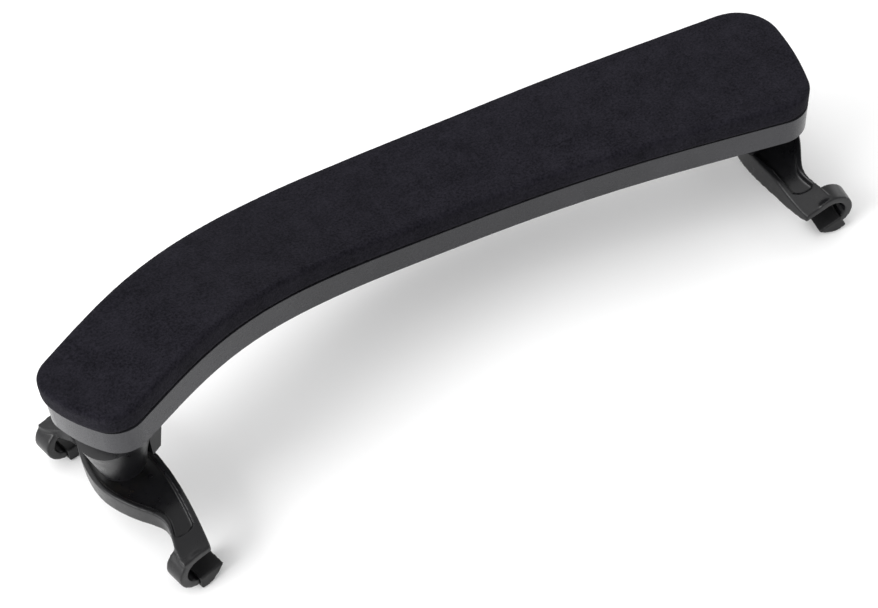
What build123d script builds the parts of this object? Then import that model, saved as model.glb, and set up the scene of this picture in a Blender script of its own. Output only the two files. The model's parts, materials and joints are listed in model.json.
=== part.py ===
"""Violin shoulder rest: a curved padded bar on two folding legs, each ending in a screw-height fork.

Units are millimetres. +X runs along the bar towards its wide end, +Y is the bulging rear side and
+Z is up. The origin is on the surface that the four claws stand on, under the middle of the
whole rest's bounding box.
"""

from build123d import *
from math import atan2, cos, degrees, radians, sin
import os

os.makedirs("parts", exist_ok=True)

# ---- Bar: stations along it, each (x, centre line y, deck height, half width) from its middle ----
BAR_LENGTH = 236.3
HALF_LENGTH = BAR_LENGTH / 2
STATIONS = [
    (-127.0, -4.1, 55.5, 14.5),
    (-95.0, 10.4, 52.0, 15.3),
    (-64.0, 22.3, 46.3, 16.0),
    (-32.0, 29.0, 38.2, 16.6),
    (0.0, 28.7, 34.4, 17.2),
    (32.0, 23.6, 35.2, 18.0),
    (64.0, 15.8, 37.8, 19.4),
    (95.0, 6.9, 40.2, 21.2),
    (127.0, -2.7, 42.4, 23.3),
]
MIDDLE_X = -6.383
MIDDLE_Y = -5.716
END_BULGE = 3.0
LEFT_CORNER_RADIUS = 8.5
RIGHT_FRONT_RADIUS = 9.0
RIGHT_REAR_RADIUS = 14.0
EDGE_STATIONS = 9

FRAME_DEPTH = 8.4
FRAME_WALL = 2.2
DECK_THICKNESS = 2.2
RIB_THICKNESS = 1.8
RIB_COUNT = 8
CELLS_FROM = -84.0
CELLS_TO = 82.0
TAPE_THICKNESS = 0.3
TAPE_INSET = 2.5
TAPE_GAP = 0.04
PAD_THICKNESS = 6.8
PAD_INSET = 0.0
TALL = 120.0
SLAB_WIDTH = 64.0

# ---- Leg base: a plate let into the bar's underside, with the hinge knuckle below it ----
LEFT_LEG_X = -108.9
RIGHT_LEG_X = 107.7
LEFT_LEG_REARWARD = 0.2
RIGHT_LEG_REARWARD = 0.3
LEFT_TOE = 0.0
RIGHT_TOE = 2.6
LEFT_FOLD = 6.0
RIGHT_FOLD = -24.65
PIVOT_INBOARD = 9.0
PIVOT_DROP = 5.0
PLATE_FROM = 1.0
PLATE_TO = 20.0
PLATE_WIDTH = 21.0
PLATE_THICKNESS = 2.6
PLATE_RECESS = 1.6
PLATE_CORNER = 2.0
PLATE_GAP = 0.1
KNUCKLE_RADIUS = 3.4
KNUCKLE_WIDTH = 7.2
KNUCKLE_ROOT = 1.0
SCREW_SPAN = (13.0, 15.0)
SCREW_RADIUS = 1.25
SCREW_LENGTH = 7.4
SCREW_TIP_RADIUS = 0.5
SCREW_HEAD_RADIUS = 2.7
COUNTERSINK_CLEARANCE = 0.1
COUNTERSINK_ANGLE = 90
SCREW_HOLE_RADIUS = 1.6
SLOT_WIDTH = 0.7
SLOT_DEPTH = 0.7
SLOT_SHARE = 0.5

# ---- Hinge pin and washers ----
PIN_RADIUS = 1.5
PIN_CLEARANCE = 0.05
PIN_HEAD_RADIUS = 2.4
PIN_HEAD_HEIGHT = 0.9
WASHER_RADIUS = 3.1
WASHER_THICKNESS = 0.6
LUG_INSIDE = 4.4
LUG_OUTSIDE = 7.8

# ---- Swing hub: the tapered collar that takes the fork's screw ----
HUB_TOP = 5.0
HUB_BOTTOM = 22.6
HUB_LIP = 1.2
HUB_TOP_RADIUS = 10.6
HUB_BOTTOM_RADIUS = 6.6
HUB_ROOF = 5.6
STOP_FACE = [(-24.0, -14.9), (-2.4, -5.0), (-2.4, 0.0), (-24.0, 0.0)]
KNUCKLE_NOTCH = [(4.4, -8.6), (24.0, -8.6), (24.0, 0.0), (4.4, 0.0)]
LUG_OUTLINE = [(5.6, -5.0), (4.6, -10.0), (4.6, -19.6), (8.0, -19.6), (12.4, -5.0)]
INSERT_RADIUS = 4.5
INSERT_LENGTH = 9.0
INSERT_FLANGE_RADIUS = 5.6
INSERT_FLANGE = 1.0

# ---- Screw post and fork ----
THREAD_RADIUS = 3.0
THREAD_CLEARANCE = 0.05
HUB_BORE_RADIUS = 3.2
DISH_DROP = 23.05
LEFT_EXTENSION = 3.69
RIGHT_EXTENSION = 0.0
POST_HEIGHT = 12.0
POST_HEAD_RADIUS = 4.9
POST_HEAD_TOP = -2.65
POST_HEAD_BOTTOM = -4.4
POST_CHAMFER = 0.6
FORK_HUB_RADIUS = 8.0
FORK_HUB_BOTTOM = -6.0
FORK_SEAT_TOP = -2.6
FORK_SEAT_RADIUS = 5.0
CAP_THICKNESS = 1.5
RIM_HEIGHT = 1.5
RIM_WIDTH = 1.6
ARM_END = 33.5
LEFT_YAW = -15.3
RIGHT_YAW = 0.0
FORK_TOP_LINE = [(0.0, 1.5), (9.0, 1.4), (18.0, 0.6), (27.0, -2.4), (34.0, -4.4)]
FORK_BOTTOM_LINE = [(0.0, -5.4), (9.0, -5.4), (18.0, -5.6), (27.0, -6.3), (34.0, -6.4)]
INBOARD_EDGE = [(0.0, -9.4), (9.0, -8.6), (18.0, -6.8), (26.0, -4.8), (33.5, -2.4)]
OUTBOARD_EDGE = [(0.0, 8.9), (8.0, 7.6), (15.0, 4.9), (21.0, 2.8), (27.5, 5.2), (33.5, 6.6)]
DISH_HALF_LENGTH = 26.5
DISH_HALF_WIDTH = 12.0

# ---- Claws and their rubber boots ----
JAW_X = -2.5
JAW_Z = -10.3
CLAW_FROM = 27.0
CLAW_OUTER = 6.4
CLAW_INNER = 3.8
CLAW_LIP = 4.0
LIP_CORNER = 2.6
BOOT_WALL = 1.1
BOOT_BACK = 1.0


def shifted(plane, x=0.0, y=0.0, z=0.0):
    """The same plane moved by an offset in its own axes."""
    return Plane(plane.from_local_coords((x, y, z)), x_dir=plane.x_dir, z_dir=plane.z_dir)


def upright(plane, y=0.0):
    """A plane standing on the x axis of another: local x stays, local y becomes its z."""
    return Plane(plane.from_local_coords((0, y, 0)), x_dir=plane.x_dir, z_dir=-plane.y_dir)


def crosswise(plane, x=0.0):
    """A plane standing on the y axis of another: local x becomes its y, local y becomes its z."""
    return Plane(plane.from_local_coords((x, 0, 0)), x_dir=plane.y_dir, z_dir=plane.x_dir)


def point_at_x(curve, x):
    """Point and unit tangent of a left-to-right curve where it passes x."""
    low, high = 0.0, 1.0
    for _ in range(40):
        middle = (low + high) / 2
        if curve.position_at(middle).X < x:
            low = middle
        else:
            high = middle
    return curve.position_at(low), curve.tangent_at(low)


centre_line = Edge.make_spline([Vector(MIDDLE_X + x, MIDDLE_Y + y, 0) for x, y, _, _ in STATIONS])
deck_line = Edge.make_spline([Vector(MIDDLE_X + x, 0, z) for x, _, z, _ in STATIONS])
width_line = Edge.make_spline([Vector(MIDDLE_X + x, half_width, 0) for x, _, _, half_width in STATIONS])


def deck_plane(x):
    """Plane across the deck at a distance along the bar: x to the rear, y up, z along the bar."""
    centre, along = point_at_x(centre_line, MIDDLE_X + x)
    deck, rise = point_at_x(deck_line, MIDDLE_X + x)
    heading = Vector(along.X, along.Y, along.X * rise.Z / rise.X)
    return Plane((centre.X, centre.Y, deck.Z), x_dir=Vector(-along.Y, along.X, 0), z_dir=heading)


def bar_edge(side, inset):
    """Points along the bar's rear (+1) or front (-1) edge, drawn in from it by an inset."""
    points = []
    for station in range(EDGE_STATIONS):
        x = (2 * station / (EDGE_STATIONS - 1) - 1) * (HALF_LENGTH - inset)
        half_width = point_at_x(width_line, MIDDLE_X + x)[0].Y - inset
        edge = deck_plane(x).from_local_coords((side * half_width, 0, 0))
        points.append(Vector(edge.X, edge.Y, 0))
    return points


def bar_outline(inset=0.0):
    """The bar's plan outline, bulging at both ends, drawn in from its edge by an inset."""
    with BuildSketch() as outline:
        with BuildLine():
            front_edge = Spline(*bar_edge(-1, inset))
            rear_edge = Spline(*bar_edge(1, inset))
            SagittaArc(front_edge @ 0, rear_edge @ 0, END_BULGE)
            SagittaArc(rear_edge @ 1, front_edge @ 1, END_BULGE)
        make_face()
        corners = outline.vertices().sort_by(Axis.X)
        right_front, right_rear = corners[2:].sort_by(Axis.Y)
        fillet(corners[:2], LEFT_CORNER_RADIUS - inset)
        fillet(outline.vertices().sort_by_distance(right_front)[0], RIGHT_FRONT_RADIUS - inset)
        fillet(outline.vertices().sort_by_distance(right_rear)[0], RIGHT_REAR_RADIUS - inset)
    return outline.sketch


def curved_slab(outline, low, high):
    """Solid over a plan outline, between two heights measured square to the deck."""
    with BuildPart() as slab:
        for x, _, _, _ in STATIONS:
            with BuildSketch(shifted(deck_plane(x), y=(low + high) / 2)):
                Rectangle(SLAB_WIDTH, high - low)
        loft()
        with BuildSketch():
            add(outline)
        extrude(amount=TALL, mode=Mode.INTERSECT)
    return slab.part


def finish(piece, name):
    """Labels a finished piece and writes it as its own node."""
    piece.part.label = name
    export_step(piece.part, f"parts/{name}.step")


def leg_plane(x, rearward, inboard, toe):
    """Plane on the bar's underside where a leg hangs: x inboard, z up, square to the deck."""
    deck = deck_plane(x)
    origin = deck.from_local_coords((rearward, -FRAME_DEPTH, 0))
    return Plane(origin, x_dir=deck.z_dir * inboard, z_dir=deck.y_dir).rotated((0, 0, toe))


def swing_plane(base, fold):
    """The leg base's plane carried round the hinge pin: positive folds the foot inboard."""
    angle = radians(fold)
    x_dir = base.x_dir * cos(angle) + base.z_dir * sin(angle)
    z_dir = base.z_dir * cos(angle) - base.x_dir * sin(angle)
    pivot = base.from_local_coords((PIVOT_INBOARD, 0, -PIVOT_DROP))
    origin = pivot - x_dir * PIVOT_INBOARD + z_dir * PIVOT_DROP
    return Plane(origin, x_dir=x_dir, z_dir=z_dir)


def fork_plane(swing, yaw, extension):
    """Plane on the floor of the fork's dish, screwed out by an extension and turned about the screw."""
    return shifted(swing, z=-DISH_DROP - extension).rotated((0, 0, yaw))


# ---- Bar pieces ----
left_base = leg_plane(LEFT_LEG_X, LEFT_LEG_REARWARD, 1, LEFT_TOE)
right_base = leg_plane(RIGHT_LEG_X, RIGHT_LEG_REARWARD, -1, RIGHT_TOE)

with BuildLine() as keel:
    add(centre_line)

wall_outline = bar_outline(FRAME_WALL)
with BuildSketch() as cells:
    add(wall_outline)
    with Locations((MIDDLE_X + (CELLS_FROM + CELLS_TO) / 2, 0)):
        Rectangle(CELLS_TO - CELLS_FROM, TALL, mode=Mode.INTERSECT)
    trace(keel.line, RIB_THICKNESS, mode=Mode.SUBTRACT)
    for rib in range(1, RIB_COUNT):
        rib_x = MIDDLE_X + CELLS_FROM + rib * (CELLS_TO - CELLS_FROM) / RIB_COUNT
        rib_centre, rib_along = point_at_x(centre_line, rib_x)
        rib_turn = degrees(atan2(rib_along.Y, rib_along.X))
        with Locations(Location((rib_centre.X, rib_centre.Y, 0), (0, 0, rib_turn))):
            Rectangle(RIB_THICKNESS, TALL / 2, mode=Mode.SUBTRACT)

bar_block = curved_slab(bar_outline(), -FRAME_DEPTH, 0)
cells_block = curved_slab(cells.sketch, -2 * FRAME_DEPTH, -DECK_THICKNESS)

with BuildPart() as frame_bar:
    add(bar_block)
    add(cells_block, mode=Mode.SUBTRACT)
    for base in (left_base, right_base):
        with BuildSketch(shifted(base, x=(PLATE_FROM + PLATE_TO) / 2, z=PLATE_RECESS)) as pocket:
            RectangleRounded(
                PLATE_TO - PLATE_FROM + 2 * PLATE_GAP, PLATE_WIDTH + 2 * PLATE_GAP, PLATE_CORNER
            )
        extrude(amount=-2 * FRAME_DEPTH, mode=Mode.SUBTRACT)
        with BuildSketch(shifted(base, x=(PLATE_FROM + PLATE_TO) / 2, z=PLATE_RECESS)) as pilots:
            with GridLocations(*SCREW_SPAN, 2, 2):
                Circle(SCREW_RADIUS)
        extrude(amount=SCREW_LENGTH - PLATE_THICKNESS, mode=Mode.SUBTRACT)
finish(frame_bar, "frame_bar")

tape_top = TAPE_GAP + TAPE_THICKNESS
tape_block = curved_slab(bar_outline(TAPE_INSET), TAPE_GAP, tape_top)
with BuildPart() as pad_tape:
    add(tape_block)
finish(pad_tape, "pad_tape")

pad_bottom = tape_top + TAPE_GAP
pad_block = curved_slab(bar_outline(PAD_INSET), pad_bottom, pad_bottom + PAD_THICKNESS)
with BuildPart() as foam_pad:
    add(pad_block)
finish(foam_pad, "foam_pad")


def claw_section(outer, inner, lip, corner):
    """U of the claw with rounded tips, open inboard: drawn in an upright plane of the fork."""
    with Locations((JAW_X, JAW_Z)):
        Circle(outer)
        Rectangle(lip - corner, 2 * outer, align=(Align.MIN, Align.CENTER))
        Rectangle(lip, 2 * (outer - corner), align=(Align.MIN, Align.CENTER))
        with Locations((lip - corner, outer - corner), (lip - corner, corner - outer)):
            Circle(corner)
        Circle(inner, mode=Mode.SUBTRACT)
        Rectangle(TALL, 2 * inner, align=(Align.MIN, Align.CENTER), mode=Mode.SUBTRACT)


def mirrored(half_line):
    """A line of points symmetric about zero, from the half that starts at zero."""
    return [(-along, value) for along, value in reversed(half_line[1:])] + half_line


def leaf_outline(fork, inset):
    """The fork's leaf-shaped plan, drawn in from its edge by an inset."""
    reach = 1 - inset / ARM_END
    with BuildSketch(Plane(fork.origin, x_dir=fork.y_dir, z_dir=fork.z_dir)) as outline:
        with BuildLine():
            inboard = Spline(*[(along * reach, out + inset) for along, out in mirrored(INBOARD_EDGE)])
            outboard = Spline(*[(along * reach, out - inset) for along, out in mirrored(OUTBOARD_EDGE)])
            Line(inboard @ 0, outboard @ 0)
            Line(inboard @ 1, outboard @ 1)
        make_face()
    return outline.sketch


def drooped_block(fork, outline, top_line, bottom_line):
    """Solid over a plan outline of the fork, between two lines that droop towards its claws."""
    with BuildPart() as block:
        add(outline)
        extrude(amount=TALL / 2, both=True)
        with BuildSketch(crosswise(fork)):
            with BuildLine():
                top = Spline(*mirrored(top_line))
                bottom = Spline(*mirrored(bottom_line))
                Line(top @ 0, bottom @ 0)
                Line(top @ 1, bottom @ 1)
            make_face()
        extrude(amount=TALL / 2, both=True, mode=Mode.INTERSECT)
    return block.part


# ---- Leg pieces, the same for both legs ----
def make_leg(side, base, fold, yaw, extension):
    """Every piece of one folding leg, from the plate in the bar down to the rubber boots."""
    swing = swing_plane(base, fold)
    fork = fork_plane(swing, yaw, extension)
    pivot_axis = shifted(upright(base), PIVOT_INBOARD, -PIVOT_DROP)
    swing_pivot = shifted(upright(swing), PIVOT_INBOARD, -PIVOT_DROP)
    plate_x = (PLATE_FROM + PLATE_TO) / 2
    plate_bottom = PLATE_RECESS - PLATE_THICKNESS
    plate_underside = shifted(base, x=plate_x, z=plate_bottom)

    with BuildPart() as leg_base:
        with BuildSketch(shifted(base, x=plate_x, z=PLATE_RECESS)):
            RectangleRounded(PLATE_TO - PLATE_FROM, PLATE_WIDTH, PLATE_CORNER)
        extrude(amount=-PLATE_THICKNESS)
        with BuildSketch(pivot_axis):
            Circle(KNUCKLE_RADIUS)
            Rectangle(
                2 * KNUCKLE_RADIUS,
                PIVOT_DROP + plate_bottom + KNUCKLE_ROOT,
                align=(Align.CENTER, Align.MIN),
            )
        extrude(amount=KNUCKLE_WIDTH / 2, both=True)
        with BuildSketch(pivot_axis):
            Circle(PIN_RADIUS)
        extrude(amount=KNUCKLE_WIDTH, both=True, mode=Mode.SUBTRACT)
        with Locations(Plane(plate_underside.origin, x_dir=base.x_dir, z_dir=-base.z_dir)):
            with GridLocations(*SCREW_SPAN, 2, 2):
                CounterSinkHole(
                    SCREW_HOLE_RADIUS,
                    SCREW_HEAD_RADIUS,
                    depth=PLATE_THICKNESS,
                    counter_sink_angle=COUNTERSINK_ANGLE,
                )
    finish(leg_base, f"{side}_leg_base")

    head_radius = SCREW_HEAD_RADIUS - COUNTERSINK_CLEARANCE
    with BuildPart() as base_screws:
        for across in (-1, 1):
            for along in (-1, 1):
                seat = shifted(plate_underside, along * SCREW_SPAN[0] / 2, across * SCREW_SPAN[1] / 2)
                with BuildSketch(upright(seat)):
                    Polygon(
                        (0, 0),
                        (head_radius, 0),
                        (SCREW_RADIUS, head_radius - SCREW_RADIUS),
                        (SCREW_RADIUS, SCREW_LENGTH - SCREW_RADIUS),
                        (SCREW_TIP_RADIUS, SCREW_LENGTH),
                        (0, SCREW_LENGTH),
                        align=None,
                    )
                revolve(axis=Axis(seat.origin, seat.z_dir))
                with BuildSketch(seat):
                    Rectangle(2 * SCREW_HEAD_RADIUS * SLOT_SHARE, SLOT_WIDTH)
                    Rectangle(SLOT_WIDTH, 2 * SCREW_HEAD_RADIUS * SLOT_SHARE)
                extrude(amount=SLOT_DEPTH, mode=Mode.SUBTRACT)
    finish(base_screws, f"{side}_base_screws")

    with BuildPart() as hinge_pin:
        with BuildSketch(pivot_axis):
            Circle(PIN_RADIUS)
        extrude(amount=LUG_OUTSIDE + PIN_CLEARANCE, both=True)
        for end in (-1, 1):
            with BuildSketch(shifted(pivot_axis, z=end * (LUG_OUTSIDE + PIN_CLEARANCE))):
                Circle(PIN_HEAD_RADIUS)
            extrude(amount=end * PIN_HEAD_HEIGHT)
    finish(hinge_pin, f"{side}_hinge_pin")

    with BuildPart() as hinge_washers:
        for end in (-1, 1):
            gap_middle = (KNUCKLE_WIDTH / 2 + LUG_INSIDE) / 2
            with BuildSketch(shifted(pivot_axis, z=end * gap_middle)):
                Circle(WASHER_RADIUS)
                Circle(PIN_RADIUS + PIN_CLEARANCE, mode=Mode.SUBTRACT)
            extrude(amount=WASHER_THICKNESS / 2, both=True)
    finish(hinge_washers, f"{side}_hinge_washers")

    screw_axis = Axis(swing.origin, swing.z_dir)
    with BuildPart() as swing_hub:
        with BuildSketch(upright(swing)):
            Polygon(
                (0, -HUB_TOP),
                (HUB_TOP_RADIUS, -HUB_TOP),
                (HUB_TOP_RADIUS, -HUB_TOP - HUB_LIP),
                (HUB_BOTTOM_RADIUS, -HUB_BOTTOM),
                (0, -HUB_BOTTOM),
                align=None,
            )
        revolve(axis=screw_axis)
        with BuildSketch(upright(swing)):
            Polygon(*STOP_FACE, align=None)
            Polygon(*KNUCKLE_NOTCH, align=None)
        extrude(amount=TALL / 2, both=True, mode=Mode.SUBTRACT)
        for end in (-1, 1):
            with BuildSketch(shifted(upright(swing), z=end * (LUG_INSIDE + LUG_OUTSIDE) / 2)):
                Polygon(*LUG_OUTLINE, align=None)
                with Locations((PIVOT_INBOARD, -PIVOT_DROP)):
                    Circle(KNUCKLE_RADIUS)
            extrude(amount=(LUG_OUTSIDE - LUG_INSIDE) / 2, both=True)
        with BuildSketch(swing_pivot):
            Circle(PIN_RADIUS + PIN_CLEARANCE)
        extrude(amount=2 * LUG_OUTSIDE, both=True, mode=Mode.SUBTRACT)
        with BuildSketch(upright(swing)):
            Polygon(
                (0, -HUB_TOP - HUB_ROOF),
                (HUB_BORE_RADIUS, -HUB_TOP - HUB_ROOF),
                (HUB_BORE_RADIUS, -HUB_BOTTOM + INSERT_LENGTH),
                (INSERT_RADIUS, -HUB_BOTTOM + INSERT_LENGTH),
                (INSERT_RADIUS, -HUB_BOTTOM + INSERT_FLANGE),
                (INSERT_FLANGE_RADIUS, -HUB_BOTTOM + INSERT_FLANGE),
                (INSERT_FLANGE_RADIUS, -HUB_BOTTOM),
                (0, -HUB_BOTTOM),
                align=None,
            )
        revolve(axis=screw_axis, mode=Mode.SUBTRACT)
    finish(swing_hub, f"{side}_swing_hub")

    with BuildPart() as thread_insert:
        with BuildSketch(upright(swing)):
            Polygon(
                (THREAD_RADIUS + THREAD_CLEARANCE, -HUB_BOTTOM),
                (INSERT_FLANGE_RADIUS, -HUB_BOTTOM),
                (INSERT_FLANGE_RADIUS, -HUB_BOTTOM + INSERT_FLANGE),
                (INSERT_RADIUS, -HUB_BOTTOM + INSERT_FLANGE),
                (INSERT_RADIUS, -HUB_BOTTOM + INSERT_LENGTH),
                (THREAD_RADIUS + THREAD_CLEARANCE, -HUB_BOTTOM + INSERT_LENGTH),
                align=None,
            )
        revolve(axis=screw_axis)
    finish(thread_insert, f"{side}_thread_insert")

    with BuildPart() as screw_post:
        with BuildSketch(upright(fork)):
            Polygon(
                (0, POST_HEAD_BOTTOM),
                (POST_HEAD_RADIUS, POST_HEAD_BOTTOM),
                (POST_HEAD_RADIUS, POST_HEAD_TOP),
                (THREAD_RADIUS, POST_HEAD_TOP),
                (THREAD_RADIUS, POST_HEIGHT - POST_CHAMFER),
                (THREAD_RADIUS - POST_CHAMFER, POST_HEIGHT),
                (0, POST_HEIGHT),
                align=None,
            )
        revolve(axis=Axis(fork.origin, fork.z_dir))
    finish(screw_post, f"{side}_screw_post")

    floor_line = [(along, height - RIM_HEIGHT) for along, height in FORK_TOP_LINE]
    above_line = [(along, height + TALL / 4) for along, height in FORK_TOP_LINE]
    leaf = drooped_block(fork, leaf_outline(fork, 0), FORK_TOP_LINE, FORK_BOTTOM_LINE)
    with BuildPart() as dish:
        add(drooped_block(fork, leaf_outline(fork, RIM_WIDTH), above_line, floor_line))
        with BuildSketch(fork):
            Ellipse(DISH_HALF_WIDTH, DISH_HALF_LENGTH)
        extrude(amount=TALL / 2, both=True, mode=Mode.INTERSECT)
    with BuildPart() as fork_body:
        add(leaf)
        with BuildSketch(fork):
            Circle(FORK_HUB_RADIUS)
        extrude(amount=FORK_HUB_BOTTOM)
        add(dish.part, mode=Mode.SUBTRACT)
        for end in (-1, 1):
            with BuildSketch(upright(fork, y=end * (CLAW_FROM + ARM_END) / 2)):
                claw_section(CLAW_OUTER, CLAW_INNER, CLAW_LIP, LIP_CORNER)
            extrude(amount=(ARM_END - CLAW_FROM) / 2, both=True)
        with BuildSketch(fork):
            Circle(THREAD_RADIUS + THREAD_CLEARANCE)
        extrude(amount=2 * FORK_HUB_BOTTOM, mode=Mode.SUBTRACT)
        with BuildSketch(shifted(fork, z=FORK_SEAT_TOP)):
            Circle(FORK_SEAT_RADIUS)
        extrude(amount=2 * FORK_HUB_BOTTOM, mode=Mode.SUBTRACT)
    finish(fork_body, f"{side}_fork")

    with BuildPart() as hub_cap:
        with BuildSketch(shifted(fork, z=FORK_HUB_BOTTOM)):
            Circle(FORK_SEAT_RADIUS)
        extrude(amount=CAP_THICKNESS)
    finish(hub_cap, f"{side}_hub_cap")

    ends = {"rear": 1, "front": -1} if side == "left" else {"rear": -1, "front": 1}
    for place, end in ends.items():
        middle = upright(fork, y=end * (CLAW_FROM + ARM_END) / 2)
        with BuildPart() as boot:
            with BuildSketch(middle):
                claw_section(
                    CLAW_OUTER + BOOT_WALL,
                    CLAW_INNER - BOOT_WALL,
                    CLAW_LIP + BOOT_WALL,
                    LIP_CORNER + BOOT_WALL,
                )
                with Locations((JAW_X - BOOT_BACK, JAW_Z)):
                    Rectangle(TALL, TALL, align=(Align.MIN, Align.MAX), mode=Mode.INTERSECT)
            extrude(amount=(ARM_END - CLAW_FROM) / 2 + BOOT_WALL, both=True)
            with BuildSketch(middle):
                claw_section(CLAW_OUTER, CLAW_INNER, CLAW_LIP, LIP_CORNER)
            extrude(amount=(ARM_END - CLAW_FROM) / 2, both=True, mode=Mode.SUBTRACT)
        finish(boot, f"{side}_{place}_boot")


make_leg("left", left_base, LEFT_FOLD, LEFT_YAW, LEFT_EXTENSION)
make_leg("right", right_base, RIGHT_FOLD, RIGHT_YAW, RIGHT_EXTENSION)
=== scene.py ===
"""Looks of the violin shoulder rest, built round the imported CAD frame. Units are metres."""

import json
import math

import bmesh
import bpy
from mathutils import Matrix, Vector, noise
from mathutils.bvhtree import BVHTree


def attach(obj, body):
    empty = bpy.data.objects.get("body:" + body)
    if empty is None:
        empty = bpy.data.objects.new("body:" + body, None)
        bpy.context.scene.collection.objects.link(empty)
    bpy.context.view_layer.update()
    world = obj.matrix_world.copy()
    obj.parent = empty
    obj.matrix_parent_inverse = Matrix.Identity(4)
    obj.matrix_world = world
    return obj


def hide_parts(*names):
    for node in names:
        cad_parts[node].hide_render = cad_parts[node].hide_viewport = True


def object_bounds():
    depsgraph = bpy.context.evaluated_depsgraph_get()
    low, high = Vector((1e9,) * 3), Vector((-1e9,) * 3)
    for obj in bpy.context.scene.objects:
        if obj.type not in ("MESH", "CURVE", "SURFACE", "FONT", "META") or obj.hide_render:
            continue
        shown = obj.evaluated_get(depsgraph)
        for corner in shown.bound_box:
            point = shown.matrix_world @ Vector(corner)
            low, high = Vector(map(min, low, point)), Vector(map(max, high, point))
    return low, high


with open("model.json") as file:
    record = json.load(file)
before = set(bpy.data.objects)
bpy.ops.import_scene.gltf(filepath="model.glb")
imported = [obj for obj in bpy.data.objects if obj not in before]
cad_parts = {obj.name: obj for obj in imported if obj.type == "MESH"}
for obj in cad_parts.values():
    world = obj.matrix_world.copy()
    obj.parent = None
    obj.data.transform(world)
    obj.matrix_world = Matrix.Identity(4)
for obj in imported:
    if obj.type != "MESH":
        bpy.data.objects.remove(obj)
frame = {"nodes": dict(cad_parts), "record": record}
cad_low, cad_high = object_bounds()

NODES = frame["nodes"]
SIDES = ("left", "right")
PLACES = ("front", "rear")


def new_object(name, data):
    """An object for a mesh, a camera or a light, put into the scene."""
    made = bpy.data.objects.new(name, data)
    bpy.context.scene.collection.objects.link(made)
    return made


# ---- Camera ----
def view_from(target, azimuth, elevation, roll, distance, across, upward):
    """Camera position and turned axes for a view of a target, moved sideways and up by a little."""
    a, e, r = (math.radians(v) for v in (azimuth, elevation, roll))
    back = Vector((math.sin(a) * math.cos(e), -math.cos(a) * math.cos(e), math.sin(e)))
    level = Vector((math.cos(a), math.sin(a), 0))
    rise = back.cross(level)
    right = level * math.cos(r) + rise * math.sin(r)
    up = rise * math.cos(r) - level * math.sin(r)
    where = Vector(target) + right * across + up * upward + back * distance
    turn = Matrix((right, up, back)).transposed().to_4x4()
    return Matrix.Translation(where) @ turn


camera_data = bpy.data.cameras.new("camera")
camera_data.sensor_width = 36
camera_data.lens = 78.91
camera_data.clip_start = 0.01
camera_data.clip_end = 20
camera = new_object("camera", camera_data)
camera.matrix_world = view_from(
    target=(-0.00638, -0.00572, 0),
    azimuth=-30.905,
    elevation=49.727,
    roll=-4.321,
    distance=0.5753,
    across=-0.00805,
    upward=0.00906,
)
bpy.context.scene.camera = camera


# ---- Node helpers ----
# Sockets of the mix node, which has a set of them for each kind of value.
MIX_FACTOR = 0
FLOAT_A, FLOAT_B, FLOAT_RESULT = 2, 3, 0
COLOUR_A, COLOUR_B, COLOUR_RESULT = 6, 7, 2


def new_material(name):
    """A material with its node tree and its shader."""
    material = bpy.data.materials.new(name)
    material.use_nodes = True
    return material, material.node_tree, material.node_tree.nodes["Principled BSDF"]


def set_values(node, **values):
    """Sets a node's own settings and its inputs by name (spaces as underscores)."""
    for key, value in values.items():
        if hasattr(node, key):
            setattr(node, key, value)
        else:
            node.inputs[key.replace("_", " ")].default_value = value


def add_node(tree, kind, **values):
    """A new shader node with its settings and inputs."""
    made = tree.nodes.new(kind)
    set_values(made, **values)
    return made


def object_coords(tree, *textures):
    """Feeds the object's own coordinates to textures."""
    coords = add_node(tree, "ShaderNodeTexCoord")
    for texture in textures:
        tree.links.new(coords.outputs["Object"], texture.inputs["Vector"])


def ramp(tree, source, low, high):
    """A colour ramp between two (position, colour) stops, fed by a grey value."""
    made = add_node(tree, "ShaderNodeValToRGB")
    for element, (position, colour) in zip(made.color_ramp.elements, (low, high)):
        element.position = position
        element.color = (*colour, 1)
    tree.links.new(source, made.inputs["Fac"])
    return made.outputs["Color"]


def map_range(tree, source, **limits):
    """A value stretched from one range to another."""
    made = add_node(tree, "ShaderNodeMapRange", **limits)
    tree.links.new(source, made.inputs["Value"])
    return made.outputs["Result"]


def bump(tree, height, strength, distance, under=None):
    """A bumped normal, laid over another one where that is given."""
    made = add_node(tree, "ShaderNodeBump", Strength=strength, Distance=distance)
    tree.links.new(height, made.inputs["Height"])
    if under is not None:
        tree.links.new(under, made.inputs["Normal"])
    return made.outputs["Normal"]


# ---- Materials ----
# Painted highlight on sharp convex edges: how much lighter than the plastic's light tone it is painted.
EDGE_HIGHLIGHT_GAIN = 2.0
EDGE_HIGHLIGHT_LIFT = 0.004
GRAIN_DEPTH = 0.00006
METAL_ROUGH_SPREAD = 0.15
METAL_SHADE = 0.85
SPECK_SHARE = 0.72
PORE_DEPTH = 0.00012
NAP_DEPTH = 0.00015


def painted_edge_highlight(tree, colour, highlit):
    """The colour, turning lighter where the surface is sharply convex: a painted highlight along the
    edges.
    """
    geometry = add_node(tree, "ShaderNodeNewGeometry")
    highlight_mask = map_range(tree, geometry.outputs["Pointiness"], From_Min=0.54, From_Max=0.66, To_Max=0.6)
    mixed = add_node(tree, "ShaderNodeMix", data_type="RGBA")
    tree.links.new(highlight_mask, mixed.inputs[MIX_FACTOR])
    tree.links.new(colour, mixed.inputs[COLOUR_A])
    mixed.inputs[COLOUR_B].default_value = (*highlit, 1)
    return mixed.outputs[COLOUR_RESULT]


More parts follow.
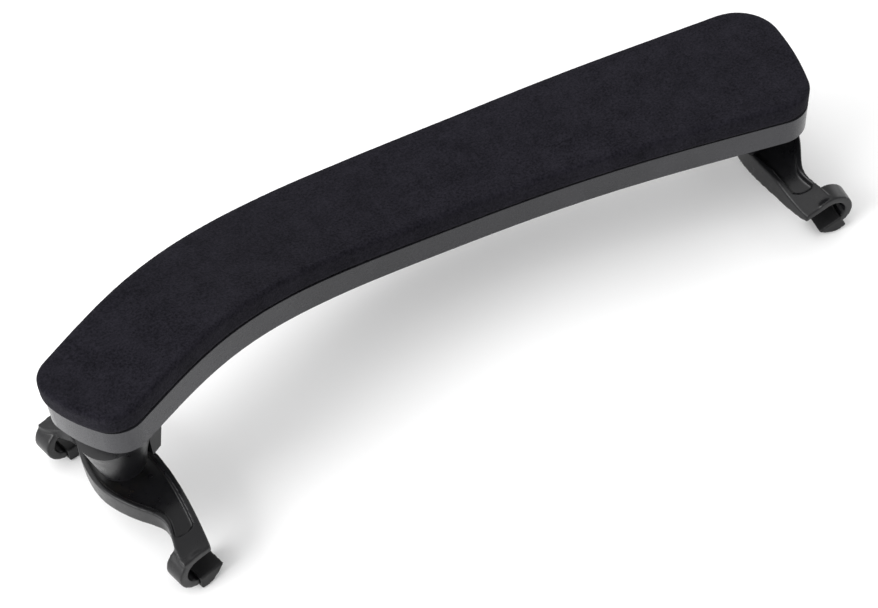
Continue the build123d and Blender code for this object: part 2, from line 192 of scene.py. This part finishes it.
def plastic(name, dark, light, rough, rough_spread, grain, specular):
    """Moulded plastic: fine moulding grain, slow colour drift and uneven gloss."""
    material, tree, shader = new_material(name)
    drift = add_node(tree, "ShaderNodeTexNoise", Scale=55.0, Detail=4.0, Roughness=0.6)
    fine = add_node(tree, "ShaderNodeTexNoise", Scale=2600.0, Detail=3.0, Roughness=0.65)
    scuff = add_node(tree, "ShaderNodeTexNoise", Scale=340.0, Detail=6.0, Roughness=0.7)
    object_coords(tree, drift, fine, scuff)
    tone = ramp(tree, drift.outputs["Fac"], (0.3, dark), (0.7, light))
    # A painted highlight, lighter than the plastic, along its sharp convex edges.
    highlit = [EDGE_HIGHLIGHT_GAIN * part + EDGE_HIGHLIGHT_LIFT for part in light]
    tree.links.new(painted_edge_highlight(tree, tone, highlit), shader.inputs["Base Color"])
    gloss = map_range(
        tree, scuff.outputs["Fac"],
        From_Min=0.35, From_Max=0.65, To_Min=rough, To_Max=rough + rough_spread,
    )
    tree.links.new(gloss, shader.inputs["Roughness"])
    tree.links.new(bump(tree, fine.outputs["Fac"], grain, GRAIN_DEPTH), shader.inputs["Normal"])
    set_values(shader, Specular_IOR_Level=specular)
    return material


def metal(name, colour, rough):
    """Turned metal: streaks of tone and uneven gloss."""
    material, tree, shader = new_material(name)
    streak = add_node(tree, "ShaderNodeTexNoise", Scale=900.0, Detail=4.0)
    object_coords(tree, streak)
    gloss = map_range(tree, streak.outputs["Fac"], To_Min=rough, To_Max=rough + METAL_ROUGH_SPREAD)
    tree.links.new(gloss, shader.inputs["Roughness"])
    shade = [part * METAL_SHADE for part in colour]
    tint = ramp(tree, streak.outputs["Fac"], (0.3, shade), (0.7, colour))
    tree.links.new(tint, shader.inputs["Base Color"])
    set_values(shader, Metallic=1.0)
    return material


def foam(name, dark, light):
    """Dense foam with a suede-like skin: mottled tone, fine nap and a soft sheen."""
    material, tree, shader = new_material(name)
    mottle = add_node(tree, "ShaderNodeTexNoise", Scale=130.0, Detail=5.0, Roughness=0.65)
    speck = add_node(tree, "ShaderNodeTexNoise", Scale=1500.0, Detail=4.0, Roughness=0.75)
    cells = add_node(tree, "ShaderNodeTexVoronoi", Scale=2300.0)
    object_coords(tree, mottle, speck, cells)
    mixed = add_node(tree, "ShaderNodeMix", data_type="FLOAT")
    mixed.inputs[MIX_FACTOR].default_value = SPECK_SHARE
    tree.links.new(mottle.outputs["Fac"], mixed.inputs[FLOAT_A])
    tree.links.new(speck.outputs["Fac"], mixed.inputs[FLOAT_B])
    tone = ramp(tree, mixed.outputs[FLOAT_RESULT], (0.38, dark), (0.62, light))
    tree.links.new(tone, shader.inputs["Base Color"])
    set_values(shader, Roughness=0.92, Specular_IOR_Level=0.045, Sheen_Weight=0.03, Sheen_Roughness=0.45)
    pores = bump(tree, cells.outputs["Distance"], 0.5, PORE_DEPTH)
    nap = bump(tree, speck.outputs["Fac"], 0.6, NAP_DEPTH, under=pores)
    tree.links.new(nap, shader.inputs["Normal"])
    return material


frame_plastic = plastic(
    "satin_frame_plastic", dark=(0.0128, 0.0128, 0.0152), light=(0.0190, 0.0190, 0.0222),
    rough=0.22, rough_spread=0.09, grain=0.3, specular=0.42,
)
leg_plastic = plastic(
    "black_leg_plastic", dark=(0.0030, 0.0030, 0.0037), light=(0.0055, 0.0055, 0.0066),
    rough=0.26, rough_spread=0.12, grain=0.25, specular=0.36,
)
boot_rubber = plastic(
    "boot_rubber", dark=(0.003, 0.003, 0.0034), light=(0.006, 0.006, 0.0068),
    rough=0.42, rough_spread=0.14, grain=0.5, specular=0.3,
)
tape_film = plastic(
    "tape_film", dark=(0.006, 0.006, 0.006), light=(0.009, 0.009, 0.009),
    rough=0.6, rough_spread=0.1, grain=0.2, specular=0.3,
)
steel = metal("turned_steel", colour=(0.55, 0.55, 0.57), rough=0.25)
brass = metal("turned_brass", colour=(0.72, 0.55, 0.28), rough=0.3)
pad_foam = foam("pad_foam", dark=(0.0036, 0.0034, 0.0054), light=(0.0160, 0.0150, 0.0205))

# The material for each ending of a node's name; every other node is leg plastic.
LOOKS = {
    "frame_bar": frame_plastic,
    "pad_tape": tape_film,
    "foam_pad": pad_foam,
    "boot": boot_rubber,
    "pin": steel,
    "screws": steel,
    "post": steel,
    "insert": brass,
}


def paint(obj, material):
    """Gives an object one material."""
    obj.data.materials.clear()
    obj.data.materials.append(material)


for name, obj in NODES.items():
    paint(obj, next((look for ending, look in LOOKS.items() if name.endswith(ending)), leg_plastic))


# ---- Mesh helpers ----
SOFTEN_FACTOR = 0.5
CREASE_DEGREES = 32


def smooth(obj):
    """Smooth shading all over."""
    for polygon in obj.data.polygons:
        polygon.use_smooth = True


def smooth_with_creases(obj):
    """Smooth shading, with sharp edges kept crisp."""
    smooth(obj)
    obj.data.set_sharp_from_angle(angle=math.radians(CREASE_DEGREES))


def soften(obj, rounds):
    """A smoothing modifier, which rounds edges."""
    modifier = obj.modifiers.new("soften", "SMOOTH")
    modifier.factor = SOFTEN_FACTOR
    modifier.iterations = rounds


def skin_over(obj, voxel, rounds=0):
    """Swaps an object's mesh for a dense skin of small squares over it, softened some rounds."""
    remesh = obj.modifiers.new("remesh", "REMESH")
    remesh.mode = "VOXEL"
    remesh.voxel_size = voxel
    if rounds:
        soften(obj, rounds)
    evaluated = obj.evaluated_get(bpy.context.evaluated_depsgraph_get())
    skin = bpy.data.meshes.new_from_object(evaluated)
    obj.modifiers.clear()
    obj.data = skin
    return skin


# ---- The pad ----
PAD_VOXEL = 0.0006
PAD_TOP_RADIUS = 0.0015
PAD_BOTTOM_RADIUS = 0.0006
PAD_OVERHANG = 0.0007
PAD_SOFTEN_ROUNDS = 4
# A face whose normal's z lies within this is a side face.
SIDE_SLOPE = 0.5
# Unevenness of the pad's face, coarse and fine: scale of the noise and height.
SWELL_SCALE, SWELL_HEIGHT = 24.0, 0.00012
RIPPLE_SCALE, RIPPLE_HEIGHT = 90.0, 0.00004


def face_tree(mesh, wanted):
    """Search tree over the faces whose normal's z passes a test."""
    faces = [list(face.vertices) for face in mesh.polygons if wanted(face.normal.z)]
    return BVHTree.FromPolygons([vertex.co for vertex in mesh.vertices], faces)


def depth_inside(tree, point):
    """How far a point lies behind the nearest face of a tree, and that face's normal."""
    nearest, normal, _, _ = tree.find_nearest(point)
    return (nearest - point).dot(normal), normal


def pad_mesh():
    """The foam pad: a dense skin over the CAD slab with soft edges and a slightly uneven face."""
    slab = NODES["foam_pad"].data
    tops = face_tree(slab, lambda z: z > SIDE_SLOPE)
    undersides = face_tree(slab, lambda z: z < -SIDE_SLOPE)
    sides = face_tree(slab, lambda z: -SIDE_SLOPE <= z <= SIDE_SLOPE)
    made = new_object("pad", slab.copy())
    skin = skin_over(made, PAD_VOXEL)
    for vertex in skin.vertices:
        below, face_normal = depth_inside(tops, vertex.co)
        above, under_normal = depth_inside(undersides, vertex.co)
        radius = PAD_TOP_RADIUS
        if above < below:
            below, face_normal, radius = above, under_normal, PAD_BOTTOM_RADIUS
        inside, side_normal = depth_inside(sides, vertex.co)
        if below < radius and inside < radius:
            reach = math.hypot(radius - below, radius - inside)
            new_below = radius - (radius - below) * radius / reach
            new_inside = radius - (radius - inside) * radius / reach
        elif below < inside:
            new_below, new_inside = 0, inside
        else:
            new_below, new_inside = below, 0
        swell = noise.noise(vertex.co * SWELL_SCALE) * SWELL_HEIGHT
        swell += noise.noise(vertex.co * RIPPLE_SCALE) * RIPPLE_HEIGHT
        if inside < PAD_TOP_RADIUS:
            swell += PAD_OVERHANG * (max(0, side_normal.y) + max(0, -side_normal.x))
        outward = face_normal if below < inside and inside >= PAD_TOP_RADIUS else side_normal
        vertex.co += face_normal * (below - new_below) + side_normal * (inside - new_inside)
        vertex.co += outward * swell
    smooth(made)
    soften(made, PAD_SOFTEN_ROUNDS)
    return made


pad = pad_mesh()
paint(pad, pad_foam)
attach(pad, "bar")
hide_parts("foam_pad")


# ---- Screw posts with a real thread ----
THREAD_PITCH = 0.001
THREAD_RADIUS = 0.003
THREAD_DEPTH = 0.00055
THREAD_FLANK = 3.2
THREAD_RINGS_PER_TURN = 10
POST_TOP = 0.012
POST_TAPER = THREAD_PITCH * 0.6
POST_HEAD_RADIUS = 0.0049
POST_HEAD_TOP = -0.00265
POST_HEAD_BOTTOM = -0.0044
POST_HEAD_EDGE = 0.0002
POST_SIDES = 40


def thread_radius(height, turn):
    """Radius of the post at a height and a share of a turn round it."""
    phase = (height / THREAD_PITCH - turn) % 1.0
    ridge = min(1.0, abs(phase - 0.5) * THREAD_FLANK)
    taper = max(0.0, height - POST_TOP + POST_TAPER)
    return THREAD_RADIUS - THREAD_DEPTH * ridge - taper


def post_rings():
    """Height and radius of each ring of a post, with no radius where the thread gives it."""
    head_edge_radius = POST_HEAD_RADIUS - POST_HEAD_EDGE
    shank = POST_TOP - POST_HEAD_TOP
    steps = int(shank / THREAD_PITCH * THREAD_RINGS_PER_TURN)
    return [
        (POST_HEAD_BOTTOM, head_edge_radius),
        (POST_HEAD_BOTTOM + POST_HEAD_EDGE, POST_HEAD_RADIUS),
        (POST_HEAD_TOP - POST_HEAD_EDGE, POST_HEAD_RADIUS),
        (POST_HEAD_TOP, head_edge_radius),
        *((POST_HEAD_TOP + shank * step / steps, None) for step in range(steps + 1)),
    ]


def post_mesh(side):
    """A screw post: a flat head and a threaded shank, built in rings up its axis."""
    joints = frame["record"]["behaviour"]["joints"]
    swivel = next(joint for joint in joints if joint["name"] == f"{side}_swivel")
    axis = -Vector(swivel["axis"])
    shape = bmesh.new()
    loops = []
    for height, radius in post_rings():
        loop = []
        for corner in range(POST_SIDES):
            turn = corner / POST_SIDES
            out = radius or thread_radius(height, turn)
            angle = math.tau * turn
            loop.append(shape.verts.new((out * math.cos(angle), out * math.sin(angle), height)))
        loops.append(loop)
    for lower, upper in zip(loops, loops[1:]):
        for corner in range(POST_SIDES):
            after = (corner + 1) % POST_SIDES
            shape.faces.new((lower[corner], lower[after], upper[after], upper[corner]))
    shape.faces.new(list(reversed(loops[0])))
    shape.faces.new(loops[-1])
    mesh = bpy.data.meshes.new(f"{side}_post_thread")
    shape.to_mesh(mesh)
    shape.free()
    made = new_object(f"{side}_post_thread", mesh)
    along_axis = axis.to_track_quat("Z", "Y").to_matrix().to_4x4()
    made.matrix_world = Matrix.Translation(swivel["pos_m"]) @ along_axis
    return made


for side in SIDES:
    post = post_mesh(side)
    paint(post, steel)
    smooth_with_creases(post)
    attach(post, f"{side}_post")
    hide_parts(f"{side}_screw_post")

for name, obj in NODES.items():
    if name != "foam_pad":
        smooth_with_creases(obj)


# ---- Forks and boots, with moulded radii ----
def moulded(node_name, voxel, rounds):
    """A skin over a CAD node with every edge rounded, as a moulding's are."""
    made = new_object(f"{node_name}_moulded", NODES[node_name].data.copy())
    skin_over(made, voxel, rounds)
    smooth(made)
    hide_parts(node_name)
    return made


for side in SIDES:
    fork = moulded(f"{side}_fork", voxel=0.00025, rounds=20)
    paint(fork, leg_plastic)
    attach(fork, f"{side}_fork")
    for place in PLACES:
        boot = moulded(f"{side}_{place}_boot", voxel=0.0003, rounds=8)
        paint(boot, boot_rubber)
        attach(boot, f"{side}_fork")


# ---- Floor and lights ----
FLOOR_HALF_WIDTH = 4.0
LIGHTS_AIM = Vector((0, 0, 0.03))


def floor():
    """A pale floor under the part, for the render only."""
    mesh = bpy.data.meshes.new("floor")
    plane = bmesh.new()
    bmesh.ops.create_grid(plane, x_segments=1, y_segments=1, size=FLOOR_HALF_WIDTH)
    plane.to_mesh(mesh)
    plane.free()
    made = new_object("floor", mesh)
    made.location.z = cad_low.z
    material, _, shader = new_material("pale_floor")
    set_values(shader, Base_Color=(0.93, 0.93, 0.93, 1), Roughness=0.9, Specular_IOR_Level=0.1)
    paint(made, material)


floor()


def area_light(name, where, size, power):
    """A soft square light that faces the part."""
    data = bpy.data.lights.new(name, "AREA")
    data.shape = "SQUARE"
    data.size = size
    data.energy = power
    light = new_object(name, data)
    light.location = where
    light.rotation_mode = "QUATERNION"
    light.rotation_quaternion = (LIGHTS_AIM - Vector(where)).to_track_quat("-Z", "Y")


area_light("key", (-1.3, 0.0, 0.7), size=0.9, power=17)
area_light("fill", (1.3, 0.3, 0.7), size=1.0, power=4)
area_light("top", (-0.4, 0.7, 1.3), size=1.6, power=10)

world = bpy.data.worlds.new("studio")
bpy.context.scene.world = world
world.use_nodes = True
set_values(world.node_tree.nodes["Background"], Color=(1, 1, 1, 1), Strength=0.80)
bpy.context.scene.view_settings.view_transform = "Standard"
